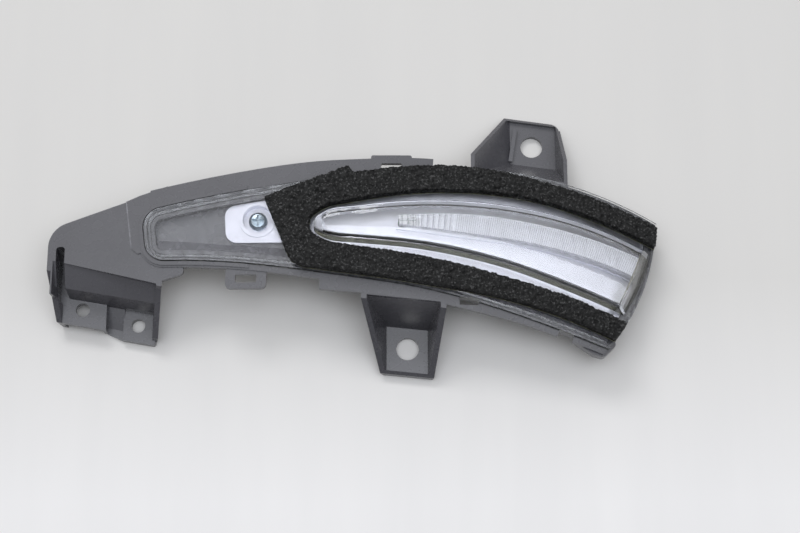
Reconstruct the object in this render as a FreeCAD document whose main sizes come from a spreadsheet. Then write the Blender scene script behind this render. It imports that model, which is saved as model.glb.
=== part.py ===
import FreeCAD
import Part
import Sketcher
import math
import os
import re

from FreeCAD import Placement, Rotation, Vector

# Side turn signal lamp for a door mirror, lying on its back as it is stored: the lens looks up (+Z),
# +X runs from the mirror's root to its outer tip and +Y is the lamp's upper edge on the car.
# The origin is the centre of the lower ear's screw hole, in the plane of the mounting faces.
# Lengths are millimetres. "along" is a distance along the lamp's bent centre line, equal to X on its
# straight stretch, "across" is a distance from that line, positive upwards, and "lift" is a height
# over the lamp's curved face, negative below it.

doc = FreeCAD.newDocument("turn_signal_lamp")
sheet = doc.addObject("Spreadsheet::Sheet", "sizes")

SIZES = [
    # The lamp's face, seen from above and from the side
    ("centre_line_y", 43.8, "height of the straight stretch of the centre line above the lower hole"),
    ("bend_start", -10.0, "where the centre line starts to bend down towards the tip"),
    ("bend_radius", 234.0, "radius of that bend"),
    ("root_bend_start", -45.0, "where the centre line starts to bend down towards the root"),
    ("root_bend_radius", 410.0, "radius of that bend"),
    ("crest_x", -10.0, "where the face is highest"),
    ("crest_height", 27.0, "height of the face there over the mounting plane"),
    ("root_face_radius", 1690.0, "radius of the face from the crest to the root"),
    ("tip_face_radius", 432.0, "radius of the face from the crest to the tip"),
    # Outer lens
    ("lens_root", -102.5, "inner end of the lens, along"),
    ("lens_tip", 104.0, "where the lens's edges run out past its tip, along"),
    ("tip_arc_x", 15.0, "centre of the arc that cuts off the lens's tip"),
    ("tip_arc_y", 51.7, "centre of the arc that cuts off the lens's tip"),
    ("tip_arc_radius", 83.6, "radius of that arc"),
    ("lens_half_root", 9.9, "half width of the lens at its root"),
    ("lens_half_window", 16.3, "half width a quarter of the way"),
    ("lens_half_middle", 23.5, "half width in the middle"),
    ("lens_half_outer", 28.3, "half width three quarters of the way"),
    ("lens_half_tip", 26.6, "half width at the tip"),
    ("lens_corner", 7.5, "corner radius at the root"),
    ("lens_plate", 2.2, "thickness of the lens plate"),
    ("lens_gap", 0.45, "gap between the lens and the housing's rim"),
    ("lens_leg_inset", 1.3, "from the lens's edge to its foot rib"),
    ("lens_leg_width", 1.2, "width of the foot rib"),
    ("lens_leg_depth", 2.0, "depth of the foot rib below the plate"),
    ("groove_play", 0.15, "play around the foot rib in its groove"),
    # Dome: the raised part of the lens that shows through the mirror cap
    ("dome_root", -37.0, "inner point of the dome, along"),
    ("dome_tip", 100.0, "where the dome's sides run out past the tip, along"),
    ("dome_tip_inset", 1.4, "from the lens's tip to the foot of the dome's outer end"),
    ("dome_end_lean", 3.0, "how far the dome's outer end leans back up to its shoulder"),
    ("dome_nose", 10.0, "length over which the dome's nose rounds off in plan"),
    ("dome_half_nose", 5.7, "half width that the dome starts from behind its nose"),
    ("dome_half", 13.9, "half width of the dome at its widest"),
    ("dome_full", 63.0, "where the dome reaches that width, along"),
    ("dome_bulge", 0.25, "how much the dome's sides swell outwards on the way"),
    ("dome_height", 6.0, "height of the dome's shoulder over the plate"),
    ("dome_crown", 1.1, "height of the dome's middle over its shoulder"),
    ("dome_rise", 7.0, "length over which the dome's nose rises"),
    ("dome_draft", 0.15, "how far the dome's sides lean in over their height"),
    ("dome_shoulder", 1.3, "radius of the dome's shoulder"),
    ("dome_wall", 2.0, "wall of the dome"),
    ("dome_offset", -0.4, "middle of the dome off the centre line at its nose"),
    ("dome_offset_wide", 0.6, "middle of the dome off the centre line where it is wide"),
    ("dome_offset_x", 45.0, "where it has reached that, along"),
    ("dome_sink", 1.6, "how far the dome's walls reach down into the lens plate"),
    # Housing
    ("rim_width", 2.2, "rim of the housing around the lens"),
    ("collar_margin", 0.6, "how far that collar stands out past the lens's edge"),
    ("collar_depth", 6.0, "depth of the collar that carries the lens"),
    ("seat_width", 4.2, "from the lens's edge to the housing's inner wall"),
    ("tub_inset", 2.2, "from the lens's edge to the tub's outer wall"),
    ("tub_depth", 13.0, "depth of the tub below the face"),
    ("tub_floor", 2.0, "floor of the tub"),
    ("shelf_depth", 6.5, "depth of the shallow shelf behind the lens window"),
    ("shelf_end", -46.5, "where the shelf drops to the tub's floor, along"),
    ("plate", 2.4, "thickness of the housing's flanges"),
    ("brow_margin", 8.1, "flange above the lens, at the root"),
    ("brow_margin_end", 3.6, "flange above the lens, where it ends"),
    ("brow_end", 8.0, "where that flange ends, along"),
    ("skirt_margin", 6.6, "flange below the lens, beside the lower ear"),
    ("skirt_start", -34.0, "inner end of that flange, along"),
    ("skirt_end", 69.5, "outer end of that flange, along"),
    ("lip_width", 1.5, "raised lip around the lens window"),
    ("lip_height", 0.6, "height of that lip"),
    ("lip_end", -62.0, "where the lip fades out before the foam, along"),
    # Lower ear
    ("lower_ear_wall", 2.2, "side walls of the lower ear"),
    ("ear_floor", 2.5, "floor of the ears, where the screws clamp"),
    ("ear_hole_radius", 4.5, "hole in each ear"),
    ("lower_ear_top_width", 33.0, "width of the lower ear at the face"),
    ("lower_ear_tip_width", 19.4, "width of the lower ear at its tip"),
    ("lower_ear_reach", 11.0, "from the hole to the lower ear's tip"),
    ("lower_ear_back", 8.2, "from the hole to the ear's back wall, at its floor"),
    # Upper ear
    ("upper_ear_wall", 1.5, "side walls of the upper ear"),
    ("upper_hole_x", 50.7, "upper ear's hole"),
    ("upper_hole_y", 84.2, "upper ear's hole"),
    ("upper_ear_top_width", 38.6, "width of the upper ear at the face"),
    ("upper_ear_tip_width", 19.2, "width of the upper ear at its tip"),
    ("upper_ear_reach", 10.6, "from the hole to the upper ear's tip"),
    ("upper_ear_back", 8.4, "from the hole to the ear's back wall, at its floor"),
    # Mounting wing at the root
    ("wing_tip_x", -140.3, "inner end of the wing"),
    ("wing_hole_radius", 2.75, "screw holes in the wing"),
    ("wing_hole_x", -128.2, "outer hole of the wing"),
    ("wing_hole_y", 14.6, "outer hole of the wing"),
    ("wing_tab_height", 5.0, "underside of the outer tab over the mounting plane"),
    ("wing_low_hole_x", -106.7, "inner hole of the wing"),
    ("wing_low_hole_y", 9.2, "inner hole of the wing"),
    ("wing_wall", 2.2, "walls of the wing's pocket"),
    ("wing_step", 0.5, "step down from the lamp's face to the wing's face"),
    ("lens_stand", 1.0, "height of the lens plate over the housing's face"),
    ("seal_thickness", 5.0, "foam seal"),
    ("seal_inset", 0.5, "from the lens's edge to the foam"),
    ("seal_root", -38.5, "inner point of the foam's opening, along"),
    ("seal_half_nose", 6.0, "half width that the opening starts from"),
    ("seal_half_wide", 16.7, "half width of the opening at its widest"),
    ("seal_full", 45.0, "where the opening reaches that width, along"),
    ("seal_bulge", 0.5, "how much the opening's sides swell outwards on the way"),
    ("seal_upper_half", 25.4, "the foam's upper edge is at most this far across"),
    ("seal_lower_half", 24.4, "the foam's lower edge is at most this far across"),
    ("seal_peak_x", -22.9, "where the foam's slanting upper edge overhangs the lens"),
    ("seal_peak_y", 66.7, "where the foam's slanting upper edge overhangs the lens"),
    ("seal_tip_gap", 0.2, "from the foam's lower end to the lens's tip"),
    ("tape_thickness", 0.25, "adhesive film under the foam"),
    ("bare_inset", 0.4, "from the lens's edge to the ledge where the lens overhangs it"),
    ("brow_taper_start", -38.0, "where the upper flange starts to narrow, along"),
    ("skirt_margin_end", 2.0, "flange below the lens at its outer end"),
    ("lower_ear_top_shift", -1.5, "how far the lower ear's mouth sits towards the root"),
    ("lower_ear_root", 19.5, "from the hole to the back of the lower ear's mouth"),
    ("lower_ear_mouth", 14.7, "from the hole to the back of the room in the lower ear"),
    ("lower_ear_skew", -0.1, "slope of the lower ear's edges in plan"),
    ("lower_ear_tip_shift", 0.0, "how far the middle of the lower ear's tip sits from its hole"),
    ("upper_ear_tip_shift", 1.3, "how far the middle of the upper ear's tip sits from its hole"),
    ("upper_ear_top_shift", -6.4, "how far the upper ear's mouth sits towards the root"),
    ("upper_ear_corner", 4.0, "rounding of the outer corner of the upper ear's tip"),
    ("rib_height", 4.3, "upright rib on the upper ear's floor"),
    ("upper_ear_root", 21.5, "from the hole to the back of the upper ear's mouth"),
    ("upper_ear_mouth", 19.3, "from the hole to the back of the room in the upper ear"),
    ("upper_ear_skew", -0.14, "slope of the upper ear's edges in plan"),
    ("ear_front_lean", 24.0, "how far the gussets lean back over the height of the ear"),
    ("ear_lip", 1.2, "lip at the tip of the ear's floor"),
    ("ear_lip_height", 3.6, "height of that lip"),
    ("wing_left_low", -137.2, "outer wall of the wing at the mounting plane"),
    ("wing_right_low", -99.5, "inner wall of the wing at the mounting plane"),
    ("wing_right_top", -95.5, "inner wall of the wing at the face"),
    ("wing_skew", -0.17, "slope of the wing's edges in plan"),
    ("wing_front_y", 9.6, "front edge of the outer tab, at the wing's outer wall"),
    ("wing_back_y", 19.8, "back edge of the tabs"),
    ("wing_knee_y", 21.7, "where the wing's sloping wall turns down to the tabs"),
    ("wing_knee_z", 17.0, "height of that turn"),
    ("wing_crease_y", 30.8, "lower edge of the wing's face"),
    ("wing_crease_skew", -0.24, "slope of that edge in plan"),
    ("wing_low_front", 2.0, "how far the inner tab stands out past the outer one"),
    ("wing_front_lean", 17.0, "how far the wing's side walls lean back"),
    ("wing_step_x", -118.8, "inner edge of the outer tab"),
    ("wing_low_tab_x", -112.6, "outer edge of the lower tab"),
    ("wing_web", 1.4, "riser beside the outer tab"),
    ("wing_recess_floor", 1.6, "floor of the recess between the tabs"),
    ("wing_ramp_z", 4.6, "height to which that floor rises at the back"),
    ("wing_low_tab", 3.4, "thickness of the lower tab"),
    ("wing_groove_x", -137.0, "groove between the outer wall and the wing's face"),
    ("wing_groove_width", 3.4, "width of that groove"),
    ("wing_groove_top", 36.5, "upper end of that groove"),
    ("wing_top_y", 60.3, "upper edge of the wing's face beside the lens"),
    ("wing_shoulder_y", 43.6, "upper edge of the wing's face run out to its tip"),
    ("wing_corner", 10.0, "corner radius of the wing's face"),
    ("wing_low_y", 25.0, "lower edge of the wing's face beside the lens"),
    ("loop_x", -62.5, "clip loop on the lower edge"),
    ("loop_y", 18.8, "lower edge of the clip loop"),
    ("loop_width", 15.8, "width of the clip loop"),
    ("loop_corner", 2.0, "corner radius of the clip loop"),
    ("loop_rail", 2.4, "bar of the clip loop"),
    ("loop_window_width", 8.2, "window of the clip loop"),
    ("loop_window_height", 3.2, "window of the clip loop"),
    ("tab_x", -6.3, "tab on the upper flange"),
    ("tab_y", 72.4, "edge of that tab"),
    ("tab_width", 16.0, "width of that tab"),
    ("slot_width", 8.2, "slot beside that tab"),
    ("slot_height", 2.0, "slot beside that tab"),
    ("slot_from_edge", 3.3, "bar between the slot and the edge"),
    ("skirt_slot_x", 23.6, "slot in the lower flange"),
    ("skirt_slot_y", 13.9, "slot in the lower flange"),
    ("skirt_slot_width", 7.4, "slot in the lower flange"),
    ("skirt_slot_height", 3.2, "slot in the lower flange"),
    ("notch_length", 7.0, "notch in the rim between that flange and the foot"),
    ("foot_along", 86.5, "rounded foot at the tip, along"),
    ("foot_width", 16.4, "width of the foot"),
    ("foot_reach", 4.8, "how far the foot stands out below the lens"),
    ("fix_x", -58.5, "screw that holds the reflector"),
    ("fix_y", 46.8, "screw that holds the reflector"),
    ("fix_screw_radius", 2.0, "shank of that screw"),
    ("fix_screw_length", 9.0, "length of that screw"),
    ("fix_head_radius", 3.6, "head of that screw"),
    ("fix_head_height", 2.6, "head of that screw"),
    ("fix_cross", 2.3, "half span of its cross recess"),
    ("fix_boss_radius", 4.2, "boss that takes that screw"),
    ("fix_boss_low", 6.5, "lower end of that boss"),
    ("screw_play", 0.06, "play between a screw and its hole"),
    ("reflector_lift", -3.0, "top of the reflector's floor"),
    ("reflector_wall", 1.3, "wall of the reflector"),
    ("reflector_play", 0.35, "play between the reflector and the housing"),
    ("reflector_root", -71.0, "inner end of the reflector, along"),
    ("reflector_corner", 4.5, "corner radius of that end"),
    ("tray_wall_start", -43.0, "where the reflector's side walls start, along"),
    ("cup_radius", 5.8, "cup around the screw's head"),
    ("cup_depth", 3.2, "depth of that cup"),
    ("cup_ring", 0.4, "raised ring around the cup"),
    ("cup_play", 0.4, "play between the cup and its well in the shelf"),
    ("well_wall", 1.6, "wall of that well"),
    ("sill_y", 37.6, "straight lower edge of the reflector under the window"),
    ("guide_tip_inset", 6.0, "from the lens's tip to the guide's outer end"),
    ("cradle_margin", 1.0, "ledge under the light guide"),
    ("guide_root", -3.5, "inner end of the light guide, along"),
    ("guide_tip", 96.0, "outer end of the light guide, along"),
    ("guide_lift", 2.5, "top of the light guide"),
    ("guide_depth", 4.0, "depth of the light guide"),
    ("guide_half_root", 1.7, "half width of the guide at its inner end"),
    ("guide_half_full", 3.9, "half width of the guide at its widest"),
    ("guide_spread", 36.0, "length over which the guide widens"),
    ("guide_offset_root", 1.6, "the guide's distance from the centre line at its inner end"),
    ("guide_offset_tip", 6.6, "the guide's distance from the centre line at its tip"),
    ("coarse_length", 22.0, "stretch of coarse facets"),
    ("coarse_pitch", 2.2, "pitch of the coarse facets"),
    ("coarse_depth", 0.6, "depth of the coarse facets"),
    ("fine_pitch", 0.8, "pitch of the fine facets"),
    ("fine_depth", 0.25, "depth of the fine facets"),
    ("leg_length", 7.6, "foot of the light guide over the LEDs"),
    ("leg_width", 3.2, "foot of the light guide over the LEDs"),
    ("leg_play", 0.4, "play around that foot"),
    ("board_x", -43.5, "inner end of the circuit board"),
    ("board_z", 17.0, "underside of the circuit board"),
    ("board_length", 62.0, "circuit board"),
    ("board_width", 18.0, "circuit board"),
    ("board_thickness", 1.6, "circuit board"),
    ("board_corner", 1.5, "cut corners of the board"),
    ("board_offset_y", 0.0, "circuit board off the centre line"),
    ("board_screw_inset", 4.0, "screws from the board's ends"),
    ("board_screw_radius", 1.25, "board screws"),
    ("board_screw_length", 5.0, "board screws"),
    ("board_head_radius", 2.3, "board screws"),
    ("board_head_height", 1.5, "board screws"),
    ("board_cross", 1.2, "half span of their cross recess"),
    ("board_boss_radius", 3.0, "bosses under the board"),
    ("led_length", 3.2, "LED package"),
    ("led_width", 2.8, "LED package"),
    ("led_height", 1.4, "LED package"),
    ("led_gap", 0.3, "between an LED and the guide's foot"),
    ("led_pitch", 3.8, "distance between the LEDs"),
    ("chip_length", 6.2, "driver chip"),
    ("chip_width", 5.0, "driver chip"),
    ("chip_height", 1.5, "driver chip"),
    ("chip_along", 30.0, "driver chip from the board's inner end"),
    ("chip_across", 3.5, "driver chip off the board's middle"),
    ("diode_length", 4.4, "diode"),
    ("diode_width", 2.6, "diode"),
    ("diode_height", 2.0, "diode"),
    ("diode_along", 11.0, "diode from the board's inner end"),
    ("diode_across", 5.0, "diode off the board's middle"),
    ("resistor_length", 1.6, "resistors"),
    ("resistor_width", 3.2, "resistors"),
    ("resistor_height", 0.6, "resistors"),
    ("resistor_along", 32.0, "first resistor from the board's inner end"),
    ("resistor_across", -4.5, "resistors off the board's middle"),
    ("resistor_pitch", 3.2, "distance between the resistors"),
    ("capacitor_radius", 3.1, "capacitor"),
    ("capacitor_height", 2.4, "capacitor"),
    ("capacitor_along", 12.0, "capacitor from the board's inner end"),
    ("capacitor_across", -4.6, "capacitor off the board's middle"),
    ("socket_x", -26.0, "connector socket"),
    ("socket_width", 14.0, "connector socket inside, along X"),
    ("socket_depth", 9.6, "connector socket inside, along Y"),
    ("socket_wall", 1.5, "wall of the socket"),
    ("socket_low", 1.5, "mouth of the socket over the mounting plane"),
    ("pin_width", 1.2, "contact pins"),
    ("pin_thickness", 0.8, "contact pins"),
    ("pin_pitch", 4.5, "distance between the pins"),
    ("pin_play", 0.08, "play around a pin"),
    ("pin_recess", 3.0, "from the socket's mouth to the pins' points"),
    ("pin_shoulder", 0.8, "shoulder of a pin under the board"),
    ("pin_stub", 0.8, "how far a pin stands out of the board"),
    ("vent_along", 40.0, "vent on the tub's rear"),
    ("vent_radius", 3.4, "vent tube"),
    ("vent_bore", 1.8, "vent tube's bore"),
    ("vent_low", 4.2, "lower end of the vent cap"),
    ("vent_cap_wall", 1.3, "wall of the vent cap"),
    ("vent_cap_height", 5.4, "height of the vent cap"),
    ("vent_play", 0.05, "play between the cap and its tube"),
]


def fill_sheet():
    for row, (alias, value, meaning) in enumerate(SIZES, start=1):
        sheet.set(f"A{row}", alias)
        sheet.set(f"B{row}", str(value))
        sheet.set(f"C{row}", meaning)
        sheet.setAlias(f"B{row}", alias)
    doc.recompute()


fill_sheet()


def size(alias):
    return float(sheet.get(alias))


# The lamp's curved frame


def plan(along, across):
    """Point in plan at a distance along the bent centre line and across it."""
    if along < size("root_bend_start"):
        start, radius, side = size("root_bend_start"), size("root_bend_radius"), -1
    elif along > size("bend_start"):
        start, radius, side = size("bend_start"), size("bend_radius"), 1
    else:
        return along, size("centre_line_y") + across
    angle = abs(along - start) / radius
    reach = radius + across
    x = start + side * reach * math.sin(angle)
    y = size("centre_line_y") - radius + reach * math.cos(angle)
    return x, y


def face_height(x, lift=0.0):
    """Height of the lamp's face over the mounting plane, lifted off it by an offset."""
    offset = x - size("crest_x")
    radius = size("root_face_radius") if offset < 0 else size("tip_face_radius")
    return size("crest_height") - radius + math.sqrt((radius + lift) ** 2 - offset ** 2)


def at(along, across, lift):
    x, y = plan(along, across)
    return Vector(x, y, face_height(x, lift))


FACE_ROOT = -165.0
FACE_TIP = 125.0
SIDE_LOW = -40.0
SIDE_SPAN = 170.0
PRISM_LOW = -20.0
PRISM_HIGH = 70.0


def face_edges(lift):
    crest = size("crest_x")
    stations = [FACE_ROOT, (FACE_ROOT + crest) / 2, crest, (crest + FACE_TIP) / 2, FACE_TIP]
    points = [Vector(x, SIDE_LOW, face_height(x, lift)) for x in stations]
    return [Part.Arc(*points[:3]).toShape(), Part.Arc(*points[2:]).toShape()]


def band(low, high):
    """The space between two lifts off the face, over the whole lamp; low None reaches down."""
    upper = face_edges(high)
    start, end = upper[0].Vertexes[0].Point, upper[1].Vertexes[-1].Point
    if low is None:
        bottom = [Vector(start.x, SIDE_LOW, PRISM_LOW), Vector(end.x, SIDE_LOW, PRISM_LOW)]
        lower = [Part.makeLine(*bottom)]
    else:
        lower = face_edges(low)
        bottom = [lower[0].Vertexes[0].Point, lower[1].Vertexes[-1].Point]
    sides = [Part.makeLine(bottom[0], start), Part.makeLine(bottom[1], end)]
    wire = Part.Wire(Part.__sortEdges__(upper + lower + sides))
    return Part.Face(wire).extrude(Vector(0, SIDE_SPAN, 0))


def rounded_face(corners, height=0.0):
    """Flat face at a height with straight sides; each corner is (x, y, radius)."""
    count = len(corners)
    edges = []
    ends = []
    for index, (x, y, radius) in enumerate(corners):
        here = Vector(x, y, height)
        back = (Vector(*corners[index - 1][:2], height) - here).normalize()
        ahead = (Vector(*corners[(index + 1) % count][:2], height) - here).normalize()
        if radius <= 0:
            ends.append((here, here))
            continue
        half = back.getAngle(ahead) / 2
        cut = radius / math.tan(half)
        middle = here + (back + ahead).normalize() * (radius / math.sin(half) - radius)
        first, last = here + back * cut, here + ahead * cut
        edges.append(Part.Arc(first, middle, last).toShape())
        ends.append((first, last))
    for index in range(count):
        start, end = ends[index][1], ends[(index + 1) % count][0]
        if start.distanceToPoint(end) > 1e-6:
            edges.append(Part.makeLine(start, end))
    return Part.Face(Part.Wire(Part.__sortEdges__(edges)))


def box_face(x_low, x_high, y_low, y_high, radius=0.0):
    return rounded_face([(x_low, y_low, radius), (x_high, y_low, radius),
                         (x_high, y_high, radius), (x_low, y_high, radius)])


def spline(points):
    curve = Part.BSplineCurve()
    curve.interpolate(points)
    return curve.toShape()


EVEN_SHARES = tuple(i / 8 for i in range(9))
FINE_SHARES = tuple(i / 16 for i in range(17))


def strip_face(upper, lower, start, end, shares=EVEN_SHARES):
    """Flat face between two edges given as distances across the centre line."""
    steps = [start + (end - start) * share for share in shares]
    top = [Vector(*plan(s, upper(s)), 0) for s in steps]
    bottom = [Vector(*plan(s, lower(s)), 0) for s in steps]
    edges = [spline(top), Part.makeLine(top[-1], bottom[-1]),
             spline(bottom), Part.makeLine(bottom[0], top[0])]
    return Part.Face(Part.Wire(Part.__sortEdges__(edges)))


def prism(face, low=PRISM_LOW, high=PRISM_HIGH):
    shift = low - face.BoundBox.ZMin
    solid = face.extrude(Vector(0, 0, high - low))
    solid.translate(Vector(0, 0, shift))
    return solid


def post(x, y, radius, low, high):
    return Part.makeCylinder(radius, high - low, Vector(x, y, low))


def past_x(x):
    """Everything on the tip's side of a value of x."""
    return prism(box_face(x, FACE_TIP, SIDE_LOW, SIDE_LOW + SIDE_SPAN))


def plate(face, low, high):
    """A plate of a flat outline that follows the lamp's face between two lifts."""
    return prism(face).common(band(low, high))


def lens_half(along):
    """Half width of the lens, a smooth curve through its five named half widths."""
    widths = [size(f"lens_half_{name}") for name in ("root", "window", "middle", "outer", "tip")]
    root, tip = size("lens_root"), size("lens_tip")
    stations = [root + (tip - root) * i / 4 for i in range(5)]
    total = 0.0
    for i, width in enumerate(widths):
        share = 1.0
        for j, station in enumerate(stations):
            if j != i:
                share *= (along - station) / (stations[i] - station)
        total += width * share
    return total


def round_root(solid, start, upper, lower, radius):
    """Round the two upright edges at the root end of a prism."""
    corners = [Vector(*plan(start, upper), 0), Vector(*plan(start, lower), 0)]
    picked = []
    for edge in solid.Edges:
        first, last = edge.Vertexes[0].Point, edge.Vertexes[-1].Point
        upright = math.hypot(first.x - last.x, first.y - last.y) < 1e-6
        flat = Vector(first.x, first.y, 0)
        if upright and min(flat.distanceToPoint(corner) for corner in corners) < 1e-4:
            picked.append(edge)
    return solid.makeFillet(radius, picked)


def inside_tip(inset):
    """Everything on the root's side of the arc that ends the lens, drawn in by an inset."""
    x, y, radius = size("tip_arc_x"), size("tip_arc_y"), size("tip_arc_radius") - inset
    top, bottom = Vector(x, y + radius, 0), Vector(x, y - radius, 0)
    far_top, far_bottom = Vector(FACE_ROOT, top.y, 0), Vector(FACE_ROOT, bottom.y, 0)
    edges = [Part.Arc(bottom, Vector(x + radius, y, 0), top).toShape(), Part.makeLine(top, far_top),
             Part.makeLine(far_top, far_bottom), Part.makeLine(far_bottom, bottom)]
    return prism(Part.Face(Part.Wire(edges)))


def lens_prism(inset, start=None, end=None):
    """Upright prism of the lens's outline, drawn in by an inset, rounded at the root."""
    root = size("lens_root") + inset
    begin = root if start is None else start
    finish = size("lens_tip") if end is None else end
    solid = prism(strip_face(lambda s: lens_half(s) - inset, lambda s: inset - lens_half(s), begin, finish))
    if end is None:
        solid = solid.common(inside_tip(inset))
    if start is None:
        half = lens_half(root) - inset
        solid = round_root(solid, root, half, -half, size("lens_corner") - inset)
    return solid


def feature(label, shape):
    part = doc.addObject("Part::Feature", label)
    part.Label = label
    part.Shape = shape
    return part


# Dome of the lens


def widening(along, nose, start_half, end_half, root, full, bulge):
    """Half width of a blunt ogive that widens towards the tip behind a rounded nose."""
    share = min(1.0, max(0.0, (along - root) / (full - root)))
    half = start_half + (end_half - start_half) * share * (1 + bulge * (1 - share))
    rounding = min(1.0, max(0.0, (along - root) / nose))
    return half * math.sqrt(1 - (1 - rounding) ** 2)


def dome_half(along):
    return widening(along, size("dome_nose"), size("dome_half_nose"), size("dome_half"),
                    size("dome_root"), size("dome_full"), size("dome_bulge"))


def dome_middle(along):
    """Middle of the dome and of the foam's opening, across the centre line."""
    root, wide = size("dome_root"), size("dome_offset_x")
    share = min(1.0, max(0.0, (along - root) / (wide - root)))
    return size("dome_offset") + (size("dome_offset_wide") - size("dome_offset")) * share


def dome_rise(along):
    """Height of the dome's shoulder, which rises over its nose."""
    share = min(1.0, max(0.0, (along - size("dome_root")) / size("dome_rise")))
    return size("dome_height") * math.sqrt(1 - (1 - share) ** 2)


DOME_NOSE = 0.8
NOSE_SHARES = (0.0, 0.02, 0.05, 0.09, 0.15, 0.24, 0.36, 0.5, 0.64, 0.76, 0.88, 1.0)
ARC_BOW = 0.41


def arch_wire(along, half, rise, crown, round_radius, base, foot):
    """Closed cross-section of the dome, square to the centre line, with leaning sides."""
    middle = dome_middle(along)
    lean = rise * size("dome_draft")
    corner_half = half - lean
    radius = min(round_radius, 0.5 * corner_half, 0.6 * rise)
    down = radius / math.hypot(lean, rise)
    side = (corner_half + lean * down, rise - rise * down)
    top = (corner_half - radius, rise)
    bow = tuple((side[i] + top[i]) / 2 * (1 - ARC_BOW) + (corner_half, rise)[i] * ARC_BOW for i in (0, 1))
    crown_rise = rise + crown * top[0] / size("dome_half")

    def spot(width, height):
        return at(along, middle + width, base + height)

    def mirrored(pair):
        return spot(-pair[0], pair[1])

    edges = [Part.makeLine(spot(half, -foot), spot(*side)),
             Part.Arc(spot(*side), spot(*bow), spot(*top)).toShape(),
             Part.Arc(spot(*top), spot(0.0, crown_rise), mirrored(top)).toShape(),
             Part.Arc(mirrored(top), mirrored(bow), mirrored(side)).toShape(),
             Part.makeLine(mirrored(side), spot(-half, -foot)),
             Part.makeLine(spot(-half, -foot), spot(half, -foot))]
    return Part.Wire(edges)


def dome_loft(wall, base, foot):
    """The dome's outer form, or with a wall its inner form; its sides go a foot below the base."""
    root = size("dome_root") + DOME_NOSE + 2 * wall
    tip = size("dome_tip")
    radius = size("dome_shoulder") if wall == 0 else size("dome_shoulder") / 2
    sections = []
    for share in NOSE_SHARES:
        along = root + (tip - root) * share
        half = max(DOME_NOSE, dome_half(along) - wall)
        rise = max(DOME_NOSE, dome_rise(along) - wall)
        sections.append(arch_wire(along, half, rise, size("dome_crown"), radius, base, foot))
    return Part.makeLoft(sections, True, False)


def inside_end(inset, base):
    """Everything on the root's side of the dome's outer end, which leans back as it rises."""
    x, y = size("tip_arc_x"), size("tip_arc_y")
    radius = size("tip_arc_radius") - inset
    level = face_height(x + radius, base)
    lean = size("dome_end_lean") / size("dome_height")
    low, high = 0.0, 2 * size("crest_height")
    cone = Part.makeCone(radius + (level - low) * lean, radius - (high - level) * lean, high - low,
                         Vector(x, y, low))
    root_side = prism(box_face(FACE_ROOT, x, SIDE_LOW, SIDE_LOW + SIDE_SPAN))
    return cone, root_side


def dome_solid(wall, base, foot):
    cone, root_side = inside_end(size("dome_tip_inset") + wall, base)
    loft = dome_loft(wall, base, foot)
    return loft.cut(root_side).common(cone).fuse(loft.common(root_side)).removeSplitter()


# Outer lens


def make_lens():
    top = size("lens_stand")
    bottom = top - size("lens_plate")
    wall = size("dome_wall")
    flat = lens_prism(0.0).common(band(bottom, top))
    leg_outer = lens_prism(size("lens_leg_inset"))
    leg_inner = lens_prism(size("lens_leg_inset") + size("lens_leg_width"))
    leg = leg_outer.cut(leg_inner).common(band(bottom - size("lens_leg_depth"), bottom))
    shape = flat.fuse(dome_solid(0.0, top, size("dome_sink"))).fuse(leg)
    return feature("lens", shape.cut(dome_solid(wall, top, size("lens_plate") + 1.0)))


# Foam seal and its adhesive film


SEAL_END = ((-55.7, 54.1), (-50.1, 40.7), (-46.9, 32.8), (-44.8, 28.8), (-39.6, 26.2), (-35.0, 24.4))


def seal_half(along):
    return widening(along, size("dome_nose"), size("seal_half_nose"), size("seal_half_wide"),
                    size("seal_root"), size("seal_full"), size("seal_bulge"))


def lesser(first, second):
    """The smaller of two widths, with a soft change from one to the other."""
    return (first + second - math.hypot(first - second, 1.0)) / 2


def seal_prism():
    """Outline of the foam: a horseshoe along the lens's edge, cut off aslant at its inner end."""
    inset = size("seal_inset")
    high = Vector(*SEAL_END[0], 0)
    peak = Vector(size("seal_peak_x"), size("seal_peak_y"), 0)
    begin = high.x - 4.0
    outer = prism(strip_face(lambda s: lesser(lens_half(s) - inset, size("seal_upper_half")),
                             lambda s: -lesser(lens_half(s) - inset, size("seal_lower_half")),
                             begin, size("lens_tip"), FINE_SHARES))
    outer = outer.common(inside_tip(size("seal_tip_gap")))
    root, tip = size("seal_root") + DOME_NOSE, size("dome_tip")
    inner = prism(strip_face(lambda s: dome_middle(s) + max(DOME_NOSE, seal_half(s)),
                             lambda s: dome_middle(s) - max(DOME_NOSE, seal_half(s)),
                             root, tip, NOSE_SHARES))
    nose = post(*plan(root, dome_middle(root)), DOME_NOSE, PRISM_LOW, PRISM_HIGH)
    far = FACE_ROOT
    side_high = SIDE_LOW + SIDE_SPAN
    cutter = rounded_face([(far, SIDE_LOW, 0), (SEAL_END[-1][0], SIDE_LOW, 0)]
                          + [(x, y, 0.8) for x, y in reversed(SEAL_END)]
                          + [(peak.x, peak.y, 0), (peak.x, side_high, 0), (far, side_high, 0)])
    hang = high + (peak - high) * 0.45
    corner = prism(rounded_face([(hang.x, hang.y, 0), (hang.x, hang.y - 6.0, 0),
                                 (peak.x + 3.0, peak.y - 8.0, 0), (peak.x + 1.8, peak.y - 2.6, 0),
                                 (peak.x, peak.y, 0.4)]))
    return outer.cut(prism(cutter)).fuse(corner).cut(inner).cut(nose)


def make_seal():
    low = size("lens_stand") + size("tape_thickness")
    outline = seal_prism()
    feature("foam_seal", outline.common(band(low, low + size("seal_thickness"))))
    feature("seal_tape", outline.common(band(size("lens_stand"), low)))


# Housing


def lens_seat():
    """Lift of the ledge that the lens lies on."""
    return size("lens_stand") - size("lens_plate")


def rim_reach():
    return size("lens_gap") + size("rim_width")


ROOT_FLANGE = ((-94.0, 36.0), (-104.8, 33.0), (-107.3, 35.0), (-110.2, 54.2), (-105.0, 56.5), (-94.0, 60.3))


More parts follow.
